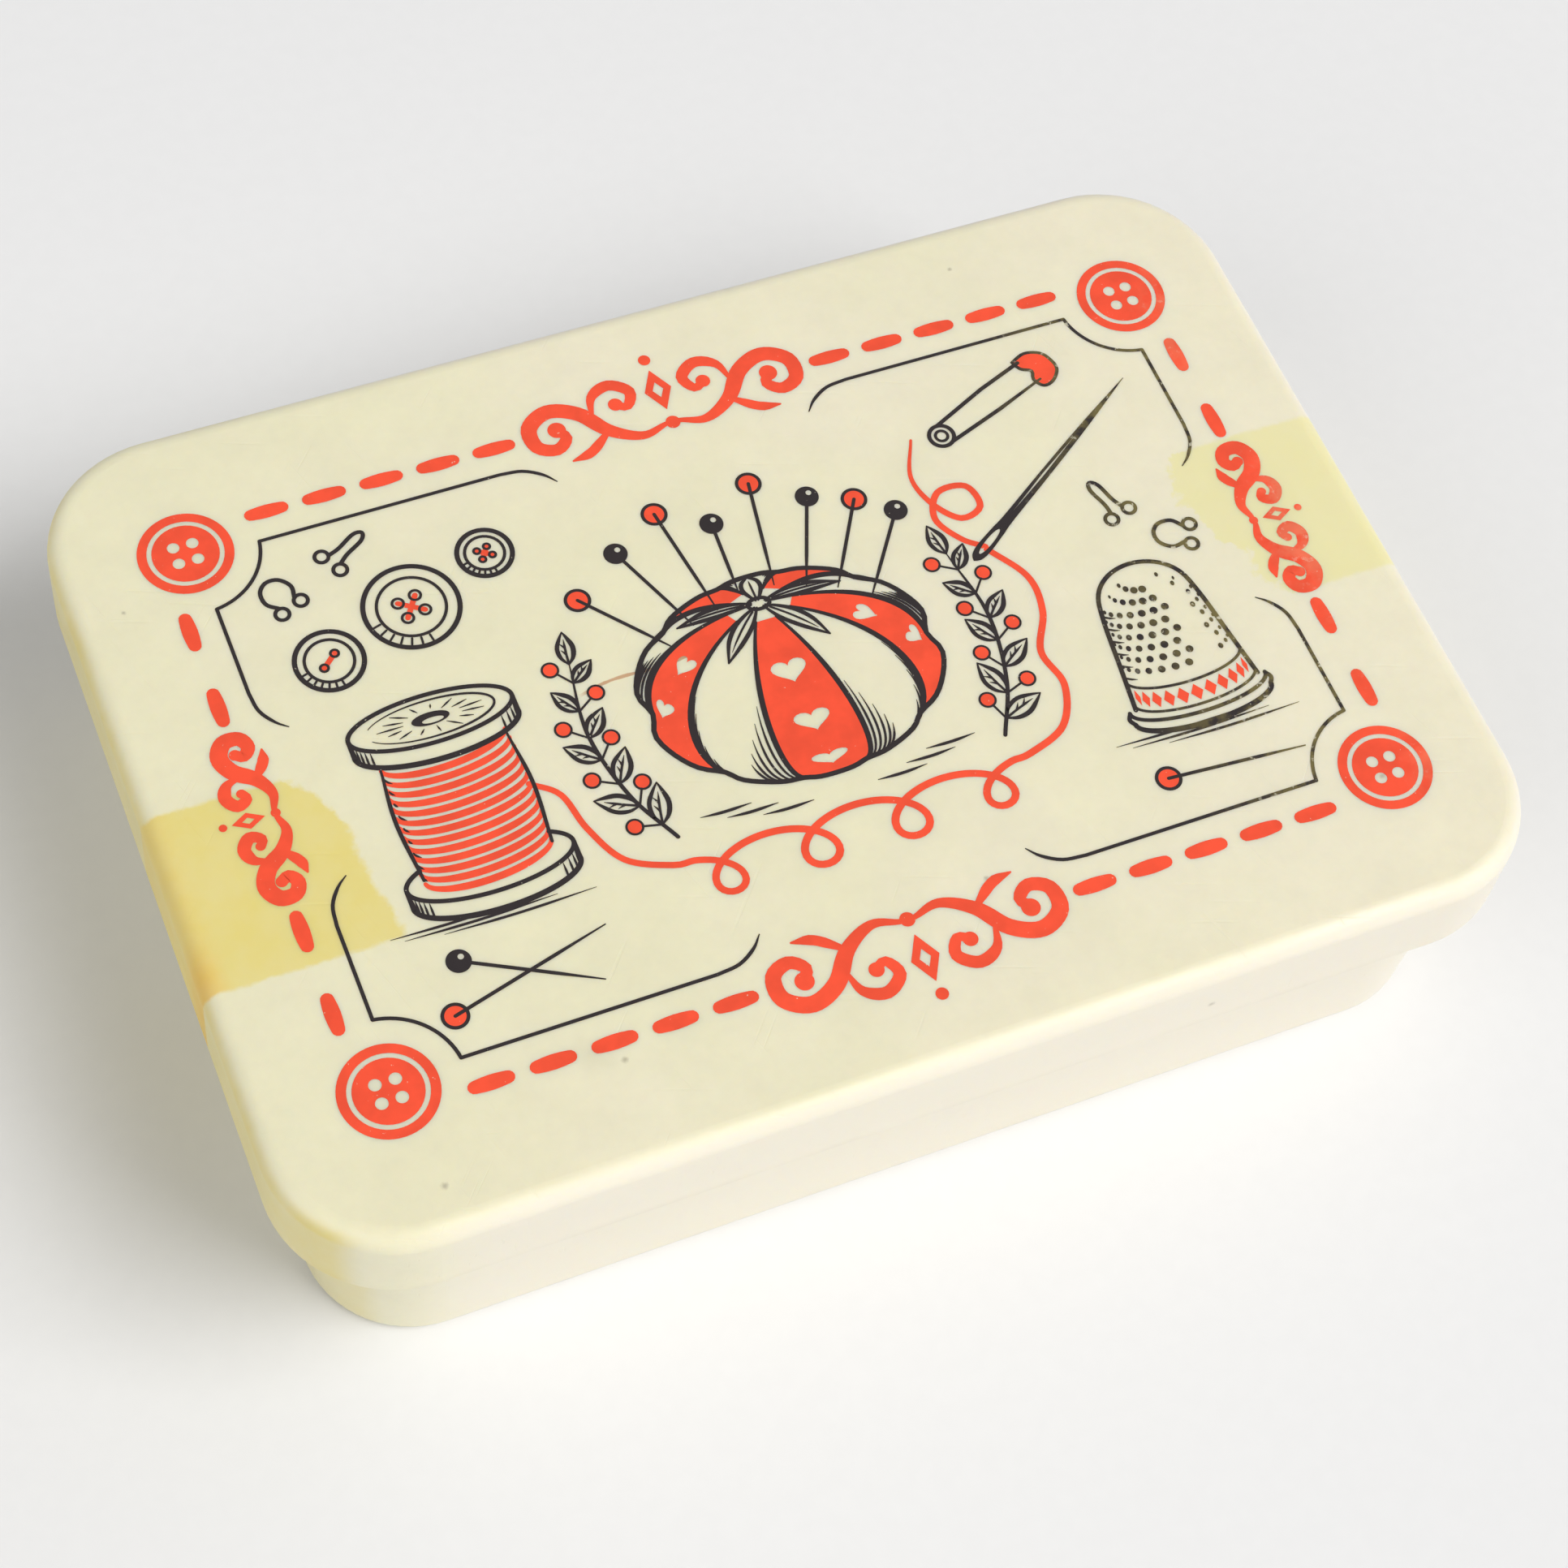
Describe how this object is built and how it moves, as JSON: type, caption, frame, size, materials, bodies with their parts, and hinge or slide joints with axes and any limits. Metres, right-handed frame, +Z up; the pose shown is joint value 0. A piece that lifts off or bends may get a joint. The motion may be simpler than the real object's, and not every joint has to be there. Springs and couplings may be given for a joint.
{
  "type": "pin box",
  "caption": "Shallow rounded-corner plastic box with a lift-off lid whose skirt slips over the tray, holding glass-headed and plain steel pins.",
  "frame": {"origin": "centre of the tray's underside, on the table", "axes": "+Z up, out of the lid's top; +X along the long sides; the long side that faces the viewer looks towards -Y"},
  "size_m": [0.084, 0.06, 0.0206],
  "materials": {
    "lid_plastic": "aged cream, satin gloss",
    "tray_plastic": "aged cream, satin gloss",
    "pin_steel": "bright nickel plate",
    "white_glass": "opaque, glossy",
    "black_glass": "opaque, glossy",
    "red_ink": "printed vermilion ink",
    "black_ink": "printed black ink"
  },
  "bodies": {
    "tray": {"tray": "tray_plastic", "pearl_pin_01_head": "white_glass", "pearl_pin_01_shank": "pin_steel", "pearl_pin_02_head": "white_glass", "pearl_pin_02_shank": "pin_steel", "pearl_pin_03_head": "white_glass", "pearl_pin_03_shank": "pin_steel", "pearl_pin_04_head": "white_glass", "pearl_pin_04_shank": "pin_steel", "pearl_pin_05_head": "white_glass", "pearl_pin_05_shank": "pin_steel", "pearl_pin_06_head": "white_glass", "pearl_pin_06_shank": "pin_steel", "pearl_pin_07_head": "white_glass", "pearl_pin_07_shank": "pin_steel", "black_pin_01_head": "black_glass", "black_pin_01_shank": "pin_steel", "black_pin_02_head": "black_glass", "black_pin_02_shank": "pin_steel", "black_pin_03_head": "black_glass", "black_pin_03_shank": "pin_steel", "black_pin_04_head": "black_glass", "black_pin_04_shank": "pin_steel", "black_pin_05_head": "black_glass", "black_pin_05_shank": "pin_steel", "black_pin_06_head": "black_glass", "black_pin_06_shank": "pin_steel", "black_pin_07_head": "black_glass", "black_pin_07_shank": "pin_steel", "plain_pin_01": "pin_steel", "plain_pin_02": "pin_steel", "plain_pin_03": "pin_steel", "plain_pin_04": "pin_steel", "plain_pin_05": "pin_steel", "plain_pin_06": "pin_steel", "plain_pin_07": "pin_steel"},
    "lid": {"lid": "lid_plastic"}
  },
  "joints": [
    {"name": "lid_lift", "type": "slide", "parent": "tray", "child": "lid", "axis": [0, 0, 1], "range_m": [0, 0.03]}
  ]
}
